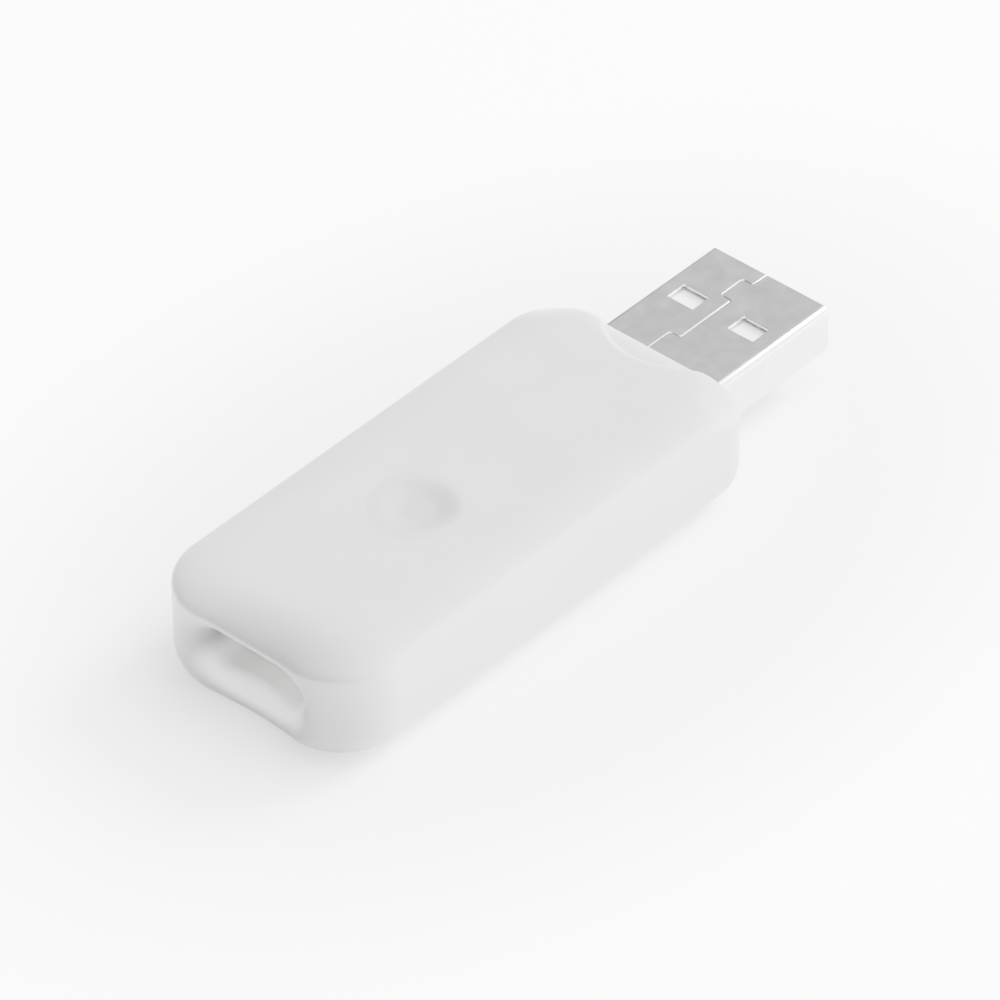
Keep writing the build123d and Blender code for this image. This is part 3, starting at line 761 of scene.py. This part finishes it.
# The electronics inside keep their CAD shape.
slot_of = {part["node"]: part["material_slot"] for part in frame["record"]["subparts"]}
for node, shown in frame["nodes"].items():
    shown.data.materials.clear()
    shown.data.materials.append(finish_of[slot_of[node]])
    if not shown.hide_render:
        bevel = shown.modifiers.new("edges", "BEVEL")
        bevel.width = ELECTRONICS_EDGE * MM
        bevel.segments = 2
        bevel.limit_method = "ANGLE"
        bevel.angle_limit = SHARP_EDGE


# ------------------------------------------------------------------ floor, light and camera
FLOOR_GLOW = 6.0
FLOOR_GLOW_NEAR = 1.2
FLOOR_SHADE_LENGTH = 48.0
FLOOR_SHADE_WIDTH = 32.0
TENT_DIM = 0.2
TENT_BRIGHT = 6.5
TENT_BRIGHT_SIDE = (0.7, -0.45, 0.55)
TENT_BRIGHTENING = (-0.1, 0.8)
CARD_DIRECTION = (0.574, 0.513, 0.639)
CARD_EDGE = (0.6, 0.9)
CARD_SHADE = 0.25
# Places in metres, powers in watts, sizes in metres
KEY_PLACE = (0.5, -0.15, 0.38)
KEY_POWER = 16.0
KEY_SIZE = 0.25
OVERHEAD_PLACE = (0.15, -0.1, 0.6)
OVERHEAD_POWER = 5.5
OVERHEAD_SIZE = 0.4
# What the camera looks at and its distance, in metres, and its turns, in degrees
CAMERA_TARGET = (-0.0015, 0, 0.00445)
CAMERA_DISTANCE = 0.607
CAMERA_AZIMUTH = -48.22
CAMERA_ELEVATION = 39.69
CAMERA_ROLL = -0.34
CAMERA_LENS = 288


def make_floor():
    size = 3.0
    paper_dark, paper_light = (0.93, 0.93, 0.93, 1), (0.95, 0.95, 0.95, 1)
    mesh = bpy.data.meshes.new("floor")
    corners = [(-size, -size, 0), (size, -size, 0), (size, size, 0), (-size, size, 0)]
    mesh.from_pydata(corners, [], [(0, 1, 2, 3)])
    floor = bpy.data.objects.new("floor", mesh)
    bpy.context.scene.collection.objects.link(floor)
    s = Surface("floor_paper")
    fibres = s.noise(1.5, 4.0)
    tint = s.mix(s.fit(fibres, 0.0, 1.0), paper_dark, paper_light)
    near = s.zone((0, 0, 0), (FLOOR_SHADE_LENGTH, FLOOR_SHADE_WIDTH, 1), 0.4)
    glow = s.fit(near, FLOOR_GLOW, FLOOR_GLOW_NEAR, 0.0, 1.0)
    s.set(s.shader, {"Emission Color": (1, 1, 1, 1), "Emission Strength": glow})
    floor.data.materials.append(s.finish(tint, s.fit(fibres, 0.7, 0.8), [(fibres, 0.01)]))


def make_world():
    """A white tent that is brightest over the stick's right side and front and dim behind it.

    A soft grey card hangs where the plug's top mirrors it."""
    world = bpy.data.worlds.new("tent")
    bpy.context.scene.world = world
    world.use_nodes = True
    tree = world.node_tree
    place = tree.nodes.new("ShaderNodeTexCoord").outputs["Generated"]

    def towards(direction, ramp, low, high):
        """low away from a direction and high towards it. ramp has the cosines in between."""
        facing = tree.nodes.new("ShaderNodeVectorMath")
        facing.operation = "DOT_PRODUCT"
        tree.links.new(place, facing.inputs[0])
        facing.inputs[1].default_value = Vector(direction).normalized()
        level = tree.nodes.new("ShaderNodeMapRange")
        level.interpolation_type = "SMOOTHSTEP"
        tree.links.new(facing.outputs["Value"], level.inputs["Value"])
        limits = {"From Min": ramp[0], "From Max": ramp[1], "To Min": low, "To Max": high}
        for key, value in limits.items():
            level.inputs[key].default_value = value
        return level.outputs[0]

    both = tree.nodes.new("ShaderNodeMath")
    both.operation = "MULTIPLY"
    bright = towards(TENT_BRIGHT_SIDE, TENT_BRIGHTENING, TENT_DIM, TENT_BRIGHT)
    tree.links.new(bright, both.inputs[0])
    tree.links.new(towards(CARD_DIRECTION, CARD_EDGE, 1.0, CARD_SHADE), both.inputs[1])
    tree.links.new(both.outputs[0], tree.nodes["Background"].inputs["Strength"])
    tree.nodes["Background"].inputs["Color"].default_value = (1, 1, 1, 1)


def make_light(name, place, power, size):
    """A square soft box that faces the object."""
    data = bpy.data.lights.new(name, "AREA")
    data.energy = power
    data.size = size
    light = bpy.data.objects.new(name, data)
    light.location = place
    light.rotation_euler = (Vector((0, 0, 0)) - Vector(place)).to_track_quat("-Z", "Y").to_euler()
    bpy.context.scene.collection.objects.link(light)


def make_camera(target, distance, azimuth, elevation, roll, lens):
    a, e, r = math.radians(azimuth), math.radians(elevation), math.radians(roll)
    back = Vector((math.sin(a) * math.cos(e), -math.cos(a) * math.cos(e), math.sin(e)))
    level = Vector((math.cos(a), math.sin(a), 0))
    upright = back.cross(level)
    right = level * math.cos(r) + upright * math.sin(r)
    up = upright * math.cos(r) - level * math.sin(r)
    data = bpy.data.cameras.new("camera")
    data.lens = lens
    data.sensor_width = 36
    data.clip_start, data.clip_end = 0.05, 20
    camera = bpy.data.objects.new("camera", data)
    bpy.context.scene.collection.objects.link(camera)
    turn = Matrix((right, up, back)).transposed().to_4x4()
    camera.matrix_world = Matrix.Translation(Vector(target) + back * distance) @ turn
    bpy.context.scene.camera = camera


make_floor()
make_world()
make_light("key", KEY_PLACE, KEY_POWER, KEY_SIZE)
make_light("overhead", OVERHEAD_PLACE, OVERHEAD_POWER, OVERHEAD_SIZE)
make_camera(CAMERA_TARGET, CAMERA_DISTANCE, CAMERA_AZIMUTH, CAMERA_ELEVATION, CAMERA_ROLL, CAMERA_LENS)
